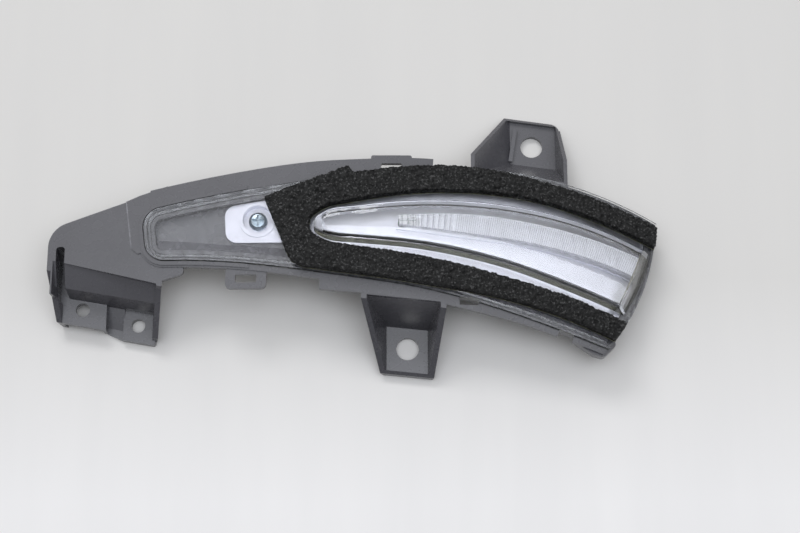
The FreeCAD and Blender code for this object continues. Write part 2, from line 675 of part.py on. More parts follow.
def housing_shell():
    """Collar, shelf, tub and flanges around the lens."""
    rim = rim_reach()
    depth = -size("collar_depth")
    brow_end, tip = size("brow_end"), size("lens_tip")
    bare = size("bare_inset")
    past = 20.0
    overlap = 1.0
    shell = lens_prism(-rim).common(band(-size("plate"), 0.0))
    collar = lens_prism(-size("collar_margin")).common(band(depth, overlap - size("plate")))
    shell = shell.fuse(collar)
    overhang = strip_face(lambda s: lens_half(s) + past, lambda s: lens_half(s) - bare,
                          brow_end, tip + past)
    shell = shell.cut(prism(overhang)).common(inside_tip(bare))

    def brow_edge(s):
        share = max(0.0, (s - size("brow_taper_start")) / (brow_end - size("brow_taper_start")))
        return lens_half(s) + size("brow_margin") + (size("brow_margin_end") - size("brow_margin")) * share

    def skirt_edge(s):
        share = (s - size("skirt_start")) / (size("skirt_end") - size("skirt_start"))
        margin = size("skirt_margin") + (size("skirt_margin_end") - size("skirt_margin")) * share
        return -lens_half(s) - margin

    brow = strip_face(brow_edge, lambda s: 0.0, size("lens_root") + 4.0, brow_end)
    skirt = strip_face(lambda s: 0.0, skirt_edge, size("skirt_start"), size("skirt_end"))
    root_flange = rounded_face([(x, y, 0) for x, y in ROOT_FLANGE])
    flanges = [plate(face, -size("plate"), 0.0) for face in (brow, skirt, root_flange)]
    walls = lens_prism(size("tub_inset"))
    shelf = walls.common(band(-size("shelf_depth"), depth + overlap))
    tub = walls.common(past_x(size("shelf_end") - size("tub_floor")))
    tub = tub.common(band(-size("tub_depth"), depth + overlap))
    lip = lens_prism(-size("lens_gap") - size("lip_width"), end=size("lip_end"))
    lip = lip.common(band(-overlap, size("lip_height")))
    return shell.multiFuse(flanges + [tub, shelf, lip])


def housing_hollows():
    """What is cut out of the shell: the lens's bed, its groove and the room behind it."""
    seat = lens_seat()
    gap, play = size("lens_gap"), size("groove_play")
    brow_end, tip = size("brow_end"), size("lens_tip")
    above = size("lens_stand") + 20.0
    past = 12.0
    bed = lens_prism(-gap).common(band(seat, above))
    open_edge = strip_face(lambda s: lens_half(s) + past, lambda s: 0.0, brow_end, tip + past)
    open_edge = prism(open_edge).common(band(seat, above))
    outer = lens_prism(size("lens_leg_inset") - play)
    inner = lens_prism(size("lens_leg_inset") + size("lens_leg_width") + play)
    groove = outer.cut(inner).common(band(seat - size("lens_leg_depth") - play, seat + 1.0))
    room = lens_prism(size("seat_width"))
    deep = room.common(past_x(size("shelf_end"))).common(band(size("tub_floor") - size("tub_depth"), above))
    shallow = room.common(band(size("tub_floor") - size("shelf_depth"), above))
    return [bed, open_edge, groove, deep, shallow]


def taper_prism(low_ends, high_ends, low, high):
    """Tall slab between two leaning sides, given as pairs of x at two heights."""
    wires = []
    for (x_low, x_high), z in ((low_ends, low), (high_ends, high)):
        corners = [(x_low, SIDE_LOW), (x_high, SIDE_LOW),
                   (x_high, SIDE_LOW + SIDE_SPAN), (x_low, SIDE_LOW + SIDE_SPAN)]
        points = [Vector(x, y, z) for x, y in corners]
        wires.append(Part.makePolygon(points + points[:1]))
    return Part.makeLoft(wires, True, True)


def profile_prism(points, x_middle, reach, skew):
    """Profile of (y, z) points given at x_middle, extruded both ways and sheared by a skew."""
    corners = [Vector(x_middle - reach, y - reach * skew, z) for y, z in points]
    wire = Part.makePolygon(corners + corners[:1])
    return Part.Face(wire).extrude(Vector(2 * reach, 2 * reach * skew, 0))


def leaning(low_ends, high_ends, high, wall):
    """Outer and inner slab between two leaning walls; both go on upwards past the top."""
    slabs = []
    for inset in (0.0, wall):
        ends = []
        for i in (0, 1):
            sign = 1 if i == 0 else -1
            bottom, top = low_ends[i] + sign * inset, high_ends[i] + sign * inset
            ends.append((bottom, top + (top - bottom)))
        slabs.append(taper_prism([e[0] for e in ends], [e[1] for e in ends], 0.0, 2 * high))
    return slabs


def ear(x, y, side, name):
    """Hopper-shaped ear: a floor at the mounting plane, two gussets and a leaning back wall.

    side is -1 where the ear points down the lamp and +1 where it points up. Returns the ear's
    outer form and the room inside it.
    """
    wall, floor, lip = size(f"{name}_wall"), size("ear_floor"), size("ear_lip")
    face = face_height(x)
    half_tip, half_top = size(f"{name}_tip_width") / 2, size(f"{name}_top_width") / 2
    tip, middle = x + size(f"{name}_tip_shift"), x + size(f"{name}_top_shift")
    outer_slab, inner_slab = leaning((tip - half_tip, tip + half_tip),
                                     (middle - half_top, middle + half_top), face, wall)
    reach, back, root = (size(f"{name}_{part}") for part in ("reach", "back", "root"))
    front_top = reach - size("ear_front_lean")
    under = face - size("collar_depth") + 1.0
    outline = [(reach, 0.0), (reach, size("ear_lip_height")), (front_top, face), (-root, face),
               (-root, under), (-back - wall, 0.0)]
    mouth = size(f"{name}_mouth")
    hollow = [(reach - lip, floor), (reach - lip, 2 * face), (-mouth, 2 * face),
              (-mouth, under + floor), (-back, floor)]
    skew, past = size(f"{name}_skew"), 80.0
    outer = profile_prism([(y + side * u, z) for u, z in outline], x, past, skew)
    inner = profile_prism([(y + side * u, z) for u, z in hollow], x, past, skew)
    return outer_slab.common(outer).common(band(None, 0.0)), inner_slab.common(inner)


def sheared_prism(points, x_middle, reach):
    """Solid between two upright profiles; each point is (y, z, slope of its y along X)."""
    wires = []
    for side in (-reach, reach):
        corners = [Vector(x_middle + side, y + side * slope, z) for y, z, slope in points]
        wires.append(Part.makePolygon(corners + corners[:1]))
    return Part.makeLoft(wires, True, True)


WING_CREST = ((-133.6, 31.0), (-125.1, 29.6), (-114.2, 26.6), (-104.3, 23.9), (-97.0, 21.6))


def make_wing():
    """The root's mounting wing: a face plate over a hopper with two screw tabs on its floor."""
    wall, plate_depth = size("wing_wall"), size("plate")
    step, skew = size("wing_step"), size("wing_skew")
    tip, right = size("wing_tip_x"), size("wing_right_top")
    base = size("wing_left_low")
    front, back, crease = size("wing_front_y"), size("wing_back_y"), size("wing_crease_y")
    knee_y, knee_z, crease_skew = size("wing_knee_y"), size("wing_knee_z"), size("wing_crease_skew")
    face = face_height(tip) - step
    tab = size("wing_tab_height") + size("ear_floor")
    past = 60.0
    outer_slab, inner_slab = leaning((base, size("wing_right_low")), (tip, right), face, wall)
    lean = size("wing_front_lean")
    outline = [(front, 0.0, skew), (front, tab, skew), (front + lean, face, skew),
               (front + lean + 1.0, face + 5.0, skew), (crease + wall, face + 5.0, crease_skew),
               (crease + wall, face - plate_depth, crease_skew), (knee_y + wall, knee_z - wall, skew),
               (back + wall, 0.0, skew)]
    hollow = [(front - past, -1.0, skew), (front - past, face + past, skew),
              (crease, face + past, crease_skew), (crease, face, crease_skew),
              (knee_y, knee_z, skew), (back, tab, skew), (back, -1.0, skew)]
    outer = sheared_prism(outline, base, past)
    inner = sheared_prism(hollow, base, past)
    room = inner_slab.common(inner)
    below = band(None, -step)
    walls = outer_slab.common(outer).cut(room).common(below)

    footing = profile_prism([(front, 0.0), (front, tab), (back + wall, tab), (back + wall, 0.0)],
                            base, past, skew).common(outer_slab)
    step_x, low_x = size("wing_step_x"), size("wing_low_tab_x")
    stretches = [(tip - wall, step_x, size("wing_tab_height"), tab),
                 (step_x - size("wing_web"), step_x, 0.0, tab),
                 (low_x, right + wall, 0.0, size("wing_low_tab"))]
    floors = [footing.common(prism(box_face(x0, x1, SIDE_LOW, SIDE_LOW + SIDE_SPAN), z0, z1))
              for x0, x1, z0, z1 in stretches]
    foot = size("wing_recess_floor")
    ramp = sheared_prism([(front, 0.0, skew), (front, foot, skew), (front + 2.0, foot, skew),
                          (back, size("wing_ramp_z"), skew), (back + wall / 2, 0.0, skew)], base, past)
    floors.append(ramp.common(prism(box_face(step_x - 1.0, low_x + 0.5, SIDE_LOW, SIDE_LOW + SIDE_SPAN))))
    stand_out = size("wing_low_front")
    front_at = [front + skew * (x - base) for x in (step_x, low_x, size("wing_right_low"))]
    nose = rounded_face([(step_x - 0.5, front_at[0], 0), (low_x, front_at[1] - stand_out, 0.6),
                         (size("wing_right_low") - 0.2, front_at[2] - stand_out, 1.0),
                         (size("wing_right_low") - 0.2, front_at[2] + 2.0, 0),
                         (step_x - 0.5, front_at[0] + 1.0, 0)])
    floors.append(prism(nose, 0.0, size("wing_recess_floor")))
    low_nose = prism(nose, 0.0, size("wing_low_tab"))
    floors.append(low_nose.common(past_x(low_x)))

    groove_x, groove_wide = size("wing_groove_x"), size("wing_groove_width")
    groove_top = size("wing_groove_top")
    inner_root = size("lens_root") + 10.0
    crest = [(x, y, 0) for x, y in WING_CREST]
    outline = rounded_face([(inner_root, size("wing_top_y"), 0),
                            (tip, size("wing_shoulder_y"), size("wing_corner")), (tip, WING_CREST[0][1], 0)]
                           + crest + [(inner_root + 6.0, size("wing_low_y"), 2.0)])
    top = prism(outline).common(band(-step - plate_depth, -step))
    side = wall * 0.8
    sleeve = prism(box_face(groove_x - side, groove_x + groove_wide + side, back - 2.0, groove_top + wall),
                   size("wing_tab_height"))
    sleeve = sleeve.common(outer_slab).common(below).cut(room)
    groove = prism(box_face(groove_x, groove_x + groove_wide, back - 3.0, groove_top, 1.2), tab)
    shell = top.multiFuse([walls, sleeve]).cut(groove)
    return shell.multiFuse(floors)


def tub_floor_height(x):
    """Height of the inner side of the tub's floor."""
    return face_height(x, size("tub_floor") - size("tub_depth"))


def rim_notch():
    """Notch through the rim below the lens, between the lower flange and the rounded foot."""
    start, end = size("skirt_end"), size("skirt_end") + size("notch_length")
    return prism(strip_face(lambda s: -lens_half(s), lambda s: -lens_half(s) - 8.0, start, end))


def upper_ear_rib():
    """Upright rib on the upper ear's floor, where its long gusset runs out."""
    outline = rounded_face([(x, y, 0) for x, y in UPPER_EAR_RIB])
    return prism(outline, size("ear_floor") - 1.0, size("rib_height"))


def upper_ear_corner():
    """What is cut off to round the outer corner of the upper ear's tip."""
    radius = size("upper_ear_corner")
    x = size("upper_hole_x") + size("upper_ear_tip_shift") + size("upper_ear_tip_width") / 2 - radius
    rise = size("upper_ear_reach") + size("upper_ear_skew") * (x - size("upper_hole_x"))
    y = size("upper_hole_y") + rise - radius
    past = 6.0
    corner = prism(box_face(x, x + radius + past, y, y + radius + past), -1.0, size("ear_lip_height") + 3.0)
    return corner.cut(post(x, y, radius, PRISM_LOW, PRISM_HIGH))


UPPER_EAR_RIB = ((43.3, 91.5), (44.9, 91.3), (42.7, 77.5), (41.1, 77.7))


WINDOW_FLOOR_EDGE = ((-98.0, -1.2), (-85.4, -3.4), (-71.7, -5.7), (-56.8, -7.4), (-46.6, -8.3))


def window_slope():
    """Wedge that slopes up from the floor behind the lens window to its lower edge."""
    floor = size("tub_floor") - size("shelf_depth")
    below = 0.5
    wires = []
    for along, edge in WINDOW_FLOOR_EDGE:
        wall = size("seat_width") - lens_half(along) - below
        corners = [at(along, edge, floor), at(along, wall, lens_seat() - 0.2),
                   at(along, wall, floor - below), at(along, edge, floor - below)]
        wires.append(Part.makePolygon(corners + corners[:1]))
    return Part.makeLoft(wires, True, True)


def make_housing():
    lower, lower_room = ear(0.0, 0.0, -1, "lower_ear")
    upper, upper_room = ear(size("upper_hole_x"), size("upper_hole_y"), 1, "upper_ear")
    depth = size("plate")

    loop_x, loop_y = size("loop_x"), size("loop_y")
    loop_half = size("loop_width") / 2
    loop_top = size("centre_line_y") - lens_half(loop_x) - rim_reach() + 1.0
    loop = plate(box_face(loop_x - loop_half, loop_x + loop_half, loop_y, loop_top, size("loop_corner")),
                 -depth, -size("wing_step"))
    window_half = size("loop_window_width") / 2
    window_low = loop_y + size("loop_rail")
    window = prism(box_face(loop_x - window_half, loop_x + window_half, window_low,
                            window_low + size("loop_window_height"), 0.4))

    tab_x, tab_y = size("tab_x"), size("tab_y")
    tab_half, slot_half = size("tab_width") / 2, size("slot_width") / 2
    slot_high = tab_y - size("slot_from_edge")
    tab = plate(box_face(tab_x - tab_half, tab_x + tab_half, slot_high, tab_y, 0.8), -depth, 0.0)
    slot = prism(box_face(tab_x - slot_half, tab_x + slot_half,
                          slot_high - size("slot_height"), slot_high, 0.6))
    low_slot_x, low_slot_y = size("skirt_slot_x"), size("skirt_slot_y")
    low_half, low_tall = size("skirt_slot_width") / 2, size("skirt_slot_height") / 2
    low_slot = prism(box_face(low_slot_x - low_half, low_slot_x + low_half,
                              low_slot_y - low_tall, low_slot_y + low_tall, 0.6))

    foot_x, foot_y = plan(size("foot_along"), -lens_half(size("foot_along")))
    wide, reach = size("foot_width") / 2, size("foot_reach")
    foot = rounded_face([(foot_x - wide, foot_y + 2 * reach, 0), (foot_x - wide, foot_y + reach * 0.2, 0.8),
                         (foot_x - wide * 0.1, foot_y - reach * 0.8, 1.5),
                         (foot_x + wide * 0.4, foot_y - reach, 2.0), (foot_x + wide, foot_y, 1.5),
                         (foot_x + wide * 0.8, foot_y + 2 * reach, 0)])
    foot = plate(foot, -size("collar_depth"), lens_seat())

    boss_x, boss_y = size("fix_x"), size("fix_y")
    well_floor = cup_floor() - size("reflector_wall")
    well_radius = size("cup_radius") + size("reflector_wall") + size("cup_play")
    boss = post(boss_x, boss_y, size("fix_boss_radius"), size("fix_boss_low"), well_floor)
    well = post(boss_x, boss_y, well_radius + size("well_wall"), well_floor - size("well_wall"),
                face_height(boss_x))
    well = well.common(band(None, size("tub_floor") - size("shelf_depth")))
    well_room = post(boss_x, boss_y, well_radius, well_floor, face_height(boss_x))
    socket_x, socket_y = size("socket_x"), size("centre_line_y")
    socket_half, socket_deep = size("socket_width") / 2, size("socket_depth") / 2
    shroud = size("socket_wall")
    under = tub_floor_height(socket_x) - size("tub_floor")
    socket = prism(box_face(socket_x - socket_half - shroud, socket_x + socket_half + shroud,
                            socket_y - socket_deep - shroud, socket_y + socket_deep + shroud, shroud),
                   size("socket_low"), under + 1.0)
    socket_room = prism(box_face(socket_x - socket_half, socket_x + socket_half,
                                 socket_y - socket_deep, socket_y + socket_deep, 0.5),
                        size("socket_low") - 1.0, under - 0.2)
    vent_x, vent_y = plan(size("vent_along"), 0.0)
    spigot = post(vent_x, vent_y, size("vent_radius"), size("vent_low") + size("vent_cap_wall"),
                  tub_floor_height(vent_x) - 0.5)

    shell = housing_shell().multiFuse([make_wing(), lower, upper, loop, tab, foot])
    for room in housing_hollows() + [lower_room, upper_room, window, slot, low_slot, rim_notch()]:
        shell = shell.cut(room)
    shell = shell.cut(upper_ear_corner()).fuse(upper_ear_rib())
    board_top = size("board_z")
    stands = [post(x, board_y(), size("board_boss_radius"), tub_floor_height(x) - 0.5, board_top)
              for x in board_screw_places()]
    shell = shell.multiFuse([boss, well, socket, spigot, window_slope()] + stands)
    cuts = [socket_room, well_room,
            post(vent_x, vent_y, size("vent_bore"), 0.0, tub_floor_height(vent_x) + 1.0),
            post(boss_x, boss_y, size("fix_screw_radius") + size("screw_play"),
                 size("fix_boss_low") + 1.0, cup_floor())]
    cuts += [post(x, board_y(), size("board_screw_radius") + size("screw_play"),
                  board_top - size("board_screw_length") - 0.2, board_top + 1.0)
             for x in board_screw_places()]
    pin_half, play = size("pin_width") / 2, size("pin_play")
    thick = size("pin_thickness") / 2
    for x in pin_places():
        cuts.append(prism(box_face(x - pin_half - play, x + pin_half + play,
                                   socket_y - thick - play, socket_y + thick + play), 0.0, board_top))
    for cut in cuts:
        shell = shell.cut(cut)
    moulding = feature("housing_moulding", shell.removeSplitter())

    holes = [("lower_ear_bore", "ear_hole_radius", None, None),
             ("upper_ear_bore", "ear_hole_radius", "upper_hole_x", "upper_hole_y"),
             ("wing_bore", "wing_hole_radius", "wing_hole_x", "wing_hole_y"),
             ("wing_low_bore", "wing_hole_radius", "wing_low_hole_x", "wing_low_hole_y")]
    base = moulding
    for index, (name, radius, x, y) in enumerate(holes):
        drill = doc.addObject("Part::Cylinder", name)
        drill.setExpression("Radius", f"sizes.{radius}")
        drill.setExpression("Height", "2 * sizes.wing_tab_height + 2 * sizes.ear_floor")
        drill.setExpression("Placement.Base.z", "-sizes.ear_floor")
        if x:
            drill.setExpression("Placement.Base.x", f"sizes.{x}")
            drill.setExpression("Placement.Base.y", f"sizes.{y}")
        last = index == len(holes) - 1
        drilled = doc.addObject("Part::Cut", "housing" if last else f"housing_step_{index}")
        drilled.Base, drilled.Tool = base, drill
        base = drilled
    return base


# Reflector and light guide


def cup_floor():
    """Height of the floor of the reflector's cup, on which the screw's head lies."""
    return face_height(size("fix_x"), size("reflector_lift") - size("cup_depth"))


def make_reflector():
    wall, lift = size("reflector_wall"), size("reflector_lift")
    inset = size("seat_width") + size("reflector_play")
    root, sill = size("reflector_root"), size("sill_y")
    outline = lens_prism(inset, start=root)
    outline = outline.cut(prism(box_face(FACE_ROOT, size("tray_wall_start"), SIDE_LOW, sill)))
    corner = size("reflector_corner")
    upright = [edge for edge in outline.Edges if abs(edge.BoundBox.XLength) < 0.5
               and edge.BoundBox.ZLength > 50 and edge.CenterOfMass.x < root + 3.0]
    outline = outline.makeFillet(corner, upright)
    tray = outline.common(band(lift - wall, lift))
    rim = outline.cut(lens_prism(inset + wall, start=root + wall)).common(past_x(size("tray_wall_start")))
    rim = rim.common(band(lift - wall, lens_seat() - size("reflector_play")))
    x, y = size("fix_x"), size("fix_y")
    floor = cup_floor()
    face = face_height(x, lift)
    cup = post(x, y, size("cup_radius") + wall, floor - wall, face + size("cup_ring"))
    hole = post(x, y, size("cup_radius"), floor, face + 5.0)
    bore = post(x, y, size("fix_screw_radius") + size("screw_play"), 0.0, floor + 1.0)
    shape = tray.multiFuse([rim, cup])
    play = size("leg_play")
    cradle_low = lift - 0.2
    cradle = plate(guide_face(size("cradle_margin")), cradle_low, size("guide_lift") - size("guide_depth"))
    cradle = cradle.common(inside_tip(size("guide_tip_inset") - size("cradle_margin")))
    shape = shape.fuse(cradle).cut(hole).cut(bore).cut(prism(leg_face(play)))
    return feature("reflector", shape)


def guide_share(along):
    root, tip = size("guide_root"), size("guide_tip")
    share = min(1.0, max(0.0, (along - root) / (tip - root)))
    return share * share * (3 - 2 * share)


def guide_middle(along):
    root, tip = size("guide_offset_root"), size("guide_offset_tip")
    return root + (tip - root) * guide_share(along)


def guide_half(along):
    root, full = size("guide_half_root"), size("guide_half_full")
    share = min(1.0, max(0.0, (along - size("guide_root")) / size("guide_spread")))
    return root + (full - root) * math.sin(share * math.pi / 2)


def guide_face(margin):
    return strip_face(lambda s: guide_middle(s) + guide_half(s) + margin,
                      lambda s: guide_middle(s) - guide_half(s) - margin,
                      size("guide_root") - margin, size("guide_tip"))


def leg_face(margin):
    x, y = plan(size("guide_root") + size("leg_length") / 2, size("guide_offset_root"))
    long, wide = size("leg_length") / 2 + margin, size("leg_width") / 2 + margin
    return box_face(x - long, x + long, y - wide, y + wide, wide * 0.6)


def facet_cuts(start, end, pitch, depth, top):
    """Row of V-cuts square to the centre line, the facets that throw the light forward."""
    cuts = []
    count = int((end - start) / pitch)
    reach = size("guide_half_full") + 2.0
    for i in range(count):
        s = start + pitch * (i + 0.5)
        middle = guide_middle(s)
        profile = [(s - pitch * 0.45, top + 0.4), (s - pitch * 0.3, top - depth),
                   (s + pitch * 0.45, top + 0.4)]
        near = [at(u, middle - reach, lift) for u, lift in profile]
        across = at(s, middle + reach, top) - at(s, middle - reach, top)
        cuts.append(Part.Face(Part.makePolygon(near + near[:1])).extrude(across))
    return cuts


def make_guide():
    top = size("guide_lift")
    body = plate(guide_face(0.0), top - size("guide_depth"), top)
    body = body.common(inside_tip(size("guide_tip_inset")))
    root = size("guide_root")
    coarse_end = root + size("coarse_length")
    cuts = facet_cuts(root + 4.0, coarse_end, size("coarse_pitch"), size("coarse_depth"), top)
    cuts += facet_cuts(coarse_end, size("guide_tip") - 2.0, size("fine_pitch"), size("fine_depth"), top)
    body = body.cut(Part.makeCompound(cuts))
    low = size("board_z") + size("board_thickness") + size("led_height") + size("led_gap")
    leg = prism(leg_face(0.0), low, face_height(root, top - size("guide_depth") / 2))
    return feature("light_guide", body.fuse(leg))


# Circuit board and what is on it


def board_y():
    return size("centre_line_y") + size("board_offset_y")


def board_screw_places():
    inset = size("board_screw_inset")
    return [size("board_x") + inset, size("board_x") + size("board_length") - inset]


def pin_places():
    return [size("socket_x") - size("pin_pitch") / 2, size("socket_x") + size("pin_pitch") / 2]


NAMES = re.compile(r"[a-z][a-z_0-9]*")


def bound(text):
    """An expression on the sheet from a formula in the sizes' names."""
    return NAMES.sub(lambda match: "sizes." + match.group(0), text)


def placed_body(label, x, y, z):
    """A body at a place on the lamp's curved frame, which the sheet's formulas can't give."""
    body = doc.addObject("PartDesign::Body", label)
    body.Label = label
    body.Placement = Placement(Vector(x, y, z), Rotation())
    return body


def new_body(label, x="0", y="0", z="0"):
    body = doc.addObject("PartDesign::Body", label)
    body.Label = label
    for axis, formula in zip("xyz", (x, y, z)):
        body.setExpression(f"Placement.Base.{axis}", bound(formula))
    return body


def outline_sketch(body, name, plane, points):
    """Closed polygon on one of the body's planes; each corner is a pair of formulas."""
    sketch = body.newObject("Sketcher::SketchObject", f"{body.Label}_{name}")
    support = next(item for item in body.Origin.OriginFeatures if item.Role == plane)
    sketch.AttachmentSupport = [(support, "")]
    sketch.MapMode = "FlatFace"
    count = len(points)
    spots = [Vector(math.cos(2 * math.pi * i / count), math.sin(2 * math.pi * i / count), 0)
             for i in range(count)]
    for i in range(count):
        sketch.addGeometry(Part.LineSegment(spots[i], spots[(i + 1) % count]), False)
    for i in range(count):
        sketch.addConstraint(Sketcher.Constraint("Coincident", i, 2, (i + 1) % count, 1))
    for i, pair in enumerate(points):
        for kind, formula, start in zip(("DistanceX", "DistanceY"), pair, spots[i]):
            index = sketch.addConstraint(Sketcher.Constraint(kind, -1, 1, i, 1, start))
            sketch.setExpression(f"Constraints[{index}]", bound(formula))
    return sketch


def circle_sketch(body, name, radius, x="0", y="0"):
    sketch = body.newObject("Sketcher::SketchObject", f"{body.Label}_{name}")
    support = next(item for item in body.Origin.OriginFeatures if item.Role == "XY_Plane")
    sketch.AttachmentSupport = [(support, "")]
    sketch.MapMode = "FlatFace"
    sketch.addGeometry(Part.Circle(Vector(1, 1, 0), Vector(0, 0, 1), 1.0), False)
    for kind, formula in (("DistanceX", x), ("DistanceY", y)):
        index = sketch.addConstraint(Sketcher.Constraint(kind, -1, 1, 0, 3, 1.0))
        sketch.setExpression(f"Constraints[{index}]", bound(formula))
    index = sketch.addConstraint(Sketcher.Constraint("Radius", 0, 1.0))
    sketch.setExpression(f"Constraints[{index}]", bound(radius))
    return sketch


def box_points(width, depth, x="0", y="0"):
    """Corners of a rectangle about a centre, as formulas."""
    left, right = f"{x} - ({width}) / 2", f"{x} + ({width}) / 2"
    low, high = f"{y} - ({depth}) / 2", f"{y} + ({depth}) / 2"
    return [(left, low), (right, low), (right, high), (left, high)]


def pad(body, sketch, length):
    made = body.newObject("PartDesign::Pad", f"{sketch.Name}_pad")
    made.Profile = sketch
    made.setExpression("Length", bound(length))
    return made


def pocket_down(body, sketch, depth, offset):
    """Pocket from an offset above the sketch's plane down by a depth."""
    sketch.setExpression("AttachmentOffset.Base.z", bound(offset))
    made = body.newObject("PartDesign::Pocket", f"{sketch.Name}_pocket")
    made.Profile = sketch
    made.setExpression("Length", bound(depth))
    return made


def revolve(body, sketch):
    made = body.newObject("PartDesign::Revolution", f"{sketch.Name}_turned")
    made.Profile = sketch
    made.ReferenceAxis = (sketch, ["V_Axis"])
    made.Angle = 360.0
    return made


def make_screw(body, radius, length, head_radius, head_height, cross):
    """Pan-head screw with a cross recess, its head's underside at its own zero."""
    point = f"{radius} * 0.5"
    profile = outline_sketch(body, "profile", "XZ_Plane", [
        ("0", f"-({length})"), (point, f"-({length})"),
        (radius, f"{point} * 1.6 - ({length})"), (radius, "0"),
        (head_radius, "0"), (head_radius, f"{head_height} * 0.45"),
        (f"{head_radius} * 0.72", f"{head_height} * 0.9"), (f"{head_radius} * 0.4", head_height),
        ("0", head_height)])
    revolve(body, profile)
    span, slit = f"2 * {cross}", f"{cross} * 0.42"
    for name, wide, tall in (("long", span, slit), ("tall", slit, span)):
        slot = outline_sketch(body, name, "XY_Plane", box_points(wide, tall))
        pocket_down(body, slot, f"{head_height} * 0.7", f"{head_height} * 1.1")
    return body


def make_board():
    board = new_body("circuit_board", "board_x", "centre_line_y + board_offset_y", "board_z")
    inset = "board_corner"
    long, half = "board_length", "board_width / 2"
    corners = [(inset, f"-{half}"), (f"{long} - {inset}", f"-{half}"), (long, f"{inset} - {half}"),
               (long, f"{half} - {inset}"), (f"{long} - {inset}", half), (inset, half),
               ("0", f"{half} - {inset}"), ("0", f"{inset} - {half}")]
    pad(board, outline_sketch(board, "outline", "XY_Plane", corners), "board_thickness")
    holes = [("board_screw_inset", "near"), ("board_length - board_screw_inset", "far")]
    for x, name in holes:
        hole = circle_sketch(board, f"hole_{name}", "board_screw_radius + screw_play", x)
        pocket_down(board, hole, "board_thickness * 2", "board_thickness * 1.5")
    for name, sign in (("first", "-"), ("second", "+")):
        x = f"socket_x - board_x {sign} pin_pitch / 2"
        slot = outline_sketch(board, f"slot_{name}", "XY_Plane", box_points(
            "pin_width + 2 * pin_play", "pin_thickness + 2 * pin_play", x, "-board_offset_y"))
        pocket_down(board, slot, "board_thickness * 2", "board_thickness * 1.5")


COMPONENTS = [
    # label, length, width, height, distance from the board's root end, offset across the board
    ("driver_chip", "chip_length", "chip_width", "chip_height", "chip_along", "chip_across"),
    ("diode", "diode_length", "diode_width", "diode_height", "diode_along", "diode_across"),
    ("resistor_1", "resistor_length", "resistor_width", "resistor_height",
     "resistor_along", "resistor_across"),
    ("resistor_2", "resistor_length", "resistor_width", "resistor_height",
     "resistor_along + resistor_pitch", "resistor_across"),
    ("resistor_3", "resistor_length", "resistor_width", "resistor_height",
     "resistor_along + 2 * resistor_pitch", "resistor_across"),
]


def make_components():
    top = "board_z + board_thickness"
    middle = "centre_line_y + board_offset_y"
    for label, long, wide, tall, along, across in COMPONENTS:
        body = new_body(label, f"board_x + {along}", f"{middle} + {across}", top)
        block = pad(body, outline_sketch(body, "outline", "XY_Plane", box_points(long, wide)), tall)
        doc.recompute()
        upright = [f"Edge{i + 1}" for i, edge in enumerate(block.Shape.Edges)
                   if min(vertex.Z for vertex in edge.Vertexes) > 1e-3]
        edge_cut = body.newObject("PartDesign::Chamfer", f"{label}_edges")
        edge_cut.Base = (block, upright)
        edge_cut.setExpression("Size", bound(f"{tall} * 0.18"))
    can = new_body("capacitor", "board_x + capacitor_along", f"{middle} + capacitor_across", top)
    radius, tall = "capacitor_radius", "capacitor_height"
    revolve(can, outline_sketch(can, "profile", "XZ_Plane", [
        ("0", "0"), (radius, "0"), (radius, f"{tall} * 0.22"), (f"{radius} * 0.93", f"{tall} * 0.3"),
        (radius, f"{tall} * 0.38"), (radius, f"{tall} * 0.92"), (f"{radius} * 0.92", tall), ("0", tall)]))
    x, y = leg_centre()
    for index, side in ((1, -1), (2, 1)):
        body = placed_body(f"led_{index}", x + side * size("led_pitch") / 2, y,
                           size("board_z") + size("board_thickness"))
        outline = outline_sketch(body, "outline", "XY_Plane", box_points("led_length", "led_width"))
        pad(body, outline, "led_height")
        well = circle_sketch(body, "well", "led_width * 0.36")
        pocket_down(body, well, "led_height * 0.6", "led_height * 1.3")


def make_terminals():
    """Flat pins that pass through the tub's floor, with a shoulder between floor and board."""
    low = "socket_low + pin_recess"
    for index, sign in ((1, "-"), (2, "+")):
        body = new_body(f"terminal_{index}", f"socket_x {sign} pin_pitch / 2",
                        "centre_line_y - pin_thickness / 2", "0")
        half, wide = "pin_width / 2", "pin_width / 2 + pin_shoulder"
        tip = f"{half} * 0.4"
        board_low = "board_z"
        shoulder_low = "board_z - pin_shoulder"
        top = "board_z + board_thickness + pin_stub"
        points = [(f"-{tip}", low), (tip, low), (half, f"{low} + pin_width"), (half, shoulder_low),
                  (wide, shoulder_low), (wide, board_low), (half, board_low), (half, top),
                  (f"-{half}", top), (f"-{half}", board_low), (f"-({wide})", board_low),
                  (f"-({wide})", shoulder_low), (f"-{half}", shoulder_low),
                  (f"-{half}", f"{low} + pin_width")]
        sketch = outline_sketch(body, "profile", "XZ_Plane", points)
        made = pad(body, sketch, "pin_thickness")
        made.Reversed = True


def make_vent_cap():
    cap = placed_body("vent_cap", *plan(size("vent_along"), 0.0), size("vent_low"))
    inner, outer = "vent_radius + vent_play", "vent_radius + vent_cap_wall + vent_play"
    tall = "vent_cap_height"
    revolve(cap, outline_sketch(cap, "profile", "XZ_Plane", [
        ("0", "0"), (f"{outer} - vent_cap_wall * 0.5", "0"), (outer, "vent_cap_wall * 0.5"),
        (outer, tall), (inner, tall), (inner, "vent_cap_wall"), ("0", "vent_cap_wall")]))


def leg_centre():
    return plan(size("guide_root") + size("leg_length") / 2, size("guide_offset_root"))


NODES = ["housing", "lens", "foam_seal", "seal_tape", "reflector", "light_guide", "circuit_board",
         "led_1", "led_2", "driver_chip", "capacitor", "diode", "resistor_1", "resistor_2", "resistor_3",
         "terminal_1", "terminal_2", "reflector_screw", "board_screw_1", "board_screw_2", "vent_cap"]


